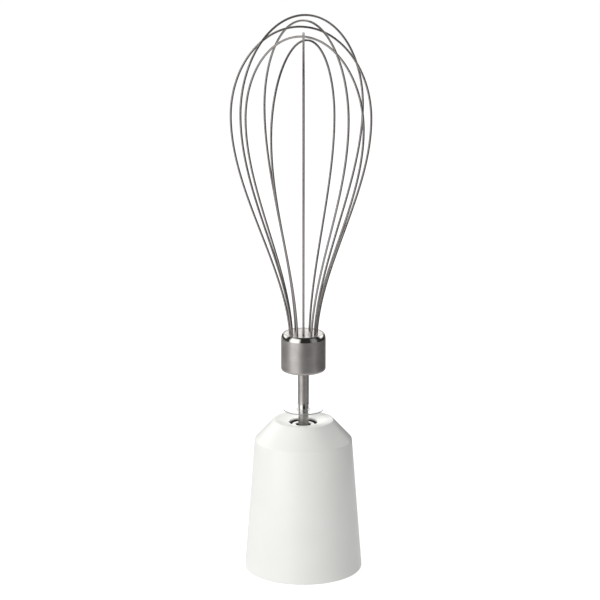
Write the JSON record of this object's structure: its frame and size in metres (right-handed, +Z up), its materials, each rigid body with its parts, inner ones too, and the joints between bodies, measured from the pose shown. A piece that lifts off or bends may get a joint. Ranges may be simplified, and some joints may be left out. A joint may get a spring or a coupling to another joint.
{
  "type": "hand blender whisk attachment",
  "caption": "Wire balloon whisk on a steel shaft that plugs into a conical planetary reduction gearbox, standing on its open motor mouth.",
  "frame": {"origin": "centre of the rim of the open mouth, on the surface that the part stands on", "axes": "+Z up along the common axis of gearbox and whisk; +X along the plane of the first wire loop"},
  "size_m": [0.063, 0.0622, 0.2554],
  "materials": {
    "white_abs": "satin-gloss moulded",
    "pale_abs": "moulded",
    "grey_pom": "moulded",
    "natural_pom": "moulded, waxy",
    "white_pom": "moulded, waxy",
    "gasket_fibre": "pressed fibre",
    "zinc_steel": "zinc plated",
    "sintered_bronze": "sintered",
    "seal_rubber": "matte",
    "black_nylon": "moulded",
    "bright_steel": "ground",
    "dark_steel": "turned, dark",
    "spring_steel": "bright",
    "brushed_stainless": "brushed",
    "polished_stainless": "polished",
    "wire_stainless": "polished wire",
    "clear_polycarbonate": "clear gloss"
  },
  "bodies": {
    "housing": {"housing": "white_abs", "coupling_collar": "pale_abs", "gear_case": "grey_pom", "gear_case_cover": "grey_pom", "case_gasket": "gasket_fibre", "case_screws": "zinc_steel", "ring_gear": "natural_pom", "input_bush": "sintered_bronze", "output_bush": "sintered_bronze", "output_seal": "seal_rubber", "neck_o_ring": "seal_rubber"},
    "input": {"drive_coupling": "black_nylon", "input_pinion": "bright_steel", "input_circlip": "spring_steel", "input_washer": "natural_pom"},
    "carrier": {"planet_carrier": "white_pom", "carrier_plate": "bright_steel", "planet_pins": "bright_steel", "output_washer": "natural_pom", "drive_socket": "dark_steel", "retaining_clip": "spring_steel"},
    "planet_1": {"planet_gear_1": "natural_pom"},
    "planet_2": {"planet_gear_2": "natural_pom"},
    "planet_3": {"planet_gear_3": "natural_pom"},
    "whisk": {"whisk_shaft": "brushed_stainless", "splash_disc": "clear_polycarbonate", "ferrule": "brushed_stainless", "wire_plug": "polished_stainless", "whisk_wire_1": "wire_stainless", "whisk_wire_2": "wire_stainless", "whisk_wire_3": "wire_stainless", "whisk_wire_4": "wire_stainless", "whisk_wire_5": "wire_stainless", "whisk_wire_6": "wire_stainless"}
  },
  "joints": [
    {"name": "whisk_spin", "type": "hinge", "parent": "housing", "child": "carrier", "pos_m": [0, 0, 0.05], "axis": [0, 0, 1], "continuous": true},
    {"name": "input_spin", "type": "hinge", "parent": "housing", "child": "input", "pos_m": [0, 0, 0.02], "axis": [0, 0, 1], "continuous": true},
    {"name": "planet_1_spin", "type": "hinge", "parent": "carrier", "child": "planet_1", "pos_m": [0.0075, 0, 0.033], "axis": [0, 0, 1], "continuous": true},
    {"name": "planet_2_spin", "type": "hinge", "parent": "carrier", "child": "planet_2", "pos_m": [-0.00375, 0.0065, 0.033], "axis": [0, 0, 1], "continuous": true},
    {"name": "planet_3_spin", "type": "hinge", "parent": "carrier", "child": "planet_3", "pos_m": [-0.00375, -0.0065, 0.033], "axis": [0, 0, 1], "continuous": true},
    {"name": "whisk_pull", "type": "slide", "parent": "carrier", "child": "whisk", "axis": [0, 0, 1], "range_m": [0, 0.022]}
  ],
  "couplings": [
    {"joint": "input_spin", "follows": "whisk_spin", "ratio": 6.6667},
    {"joint": "planet_1_spin", "follows": "whisk_spin", "ratio": -2.4286},
    {"joint": "planet_2_spin", "follows": "whisk_spin", "ratio": -2.4286},
    {"joint": "planet_3_spin", "follows": "whisk_spin", "ratio": -2.4286}
  ]
}
